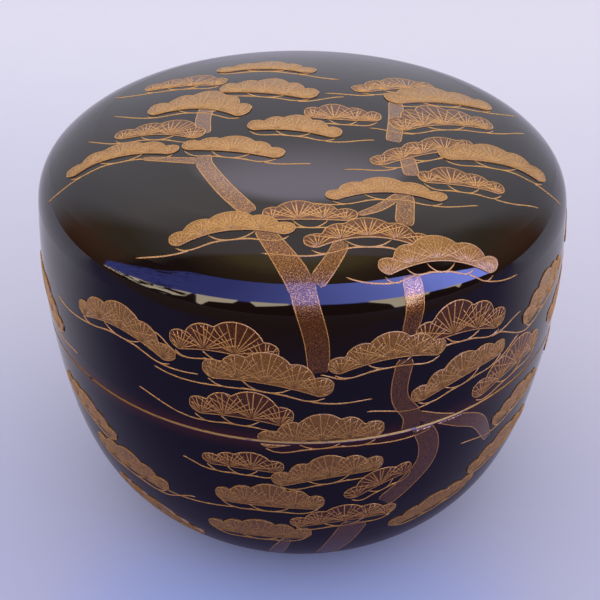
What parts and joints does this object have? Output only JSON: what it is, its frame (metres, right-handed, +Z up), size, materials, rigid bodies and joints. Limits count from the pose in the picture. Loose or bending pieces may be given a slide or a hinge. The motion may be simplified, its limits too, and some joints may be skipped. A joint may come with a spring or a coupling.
{
  "type": "lacquer tea caddy",
  "caption": "Round lidded tea caddy in black lacquer over turned wood, with a lift-off lid on a raised collar and sprinkled gold pines.",
  "frame": {"origin": "centre of the foot, on the surface that the caddy stands on", "axes": "+Z up along the turning axis; +X and +Y are level, and the side in the picture faces -Y"},
  "size_m": [0.075, 0.075, 0.0632],
  "materials": {
    "black_lacquer": "polished black lacquer, slightly brown where it is thin",
    "lining_lacquer": "black lacquer, a little softer in gloss than the outside",
    "wood": "turned wood under the lacquer, not seen",
    "gold": "sprinkled gold powder, satin",
    "brown_gold": "sparse gold powder over reddish brown lacquer"
  },
  "bodies": {
    "body": {"wooden_body": "wood", "body_outer_lacquer": "black_lacquer", "body_inner_lacquer": "lining_lacquer", "body_underside_lacquer": "black_lacquer", "body_rim_line": "gold"},
    "lid": {"wooden_lid": "wood", "lid_outer_lacquer": "black_lacquer", "lid_inner_lacquer": "lining_lacquer", "lid_rim_line": "gold"}
  },
  "joints": [
    {"name": "lid_lift", "type": "slide", "parent": "body", "child": "lid", "axis": [0, 0, 1], "range_m": [0, 0.06]}
  ]
}
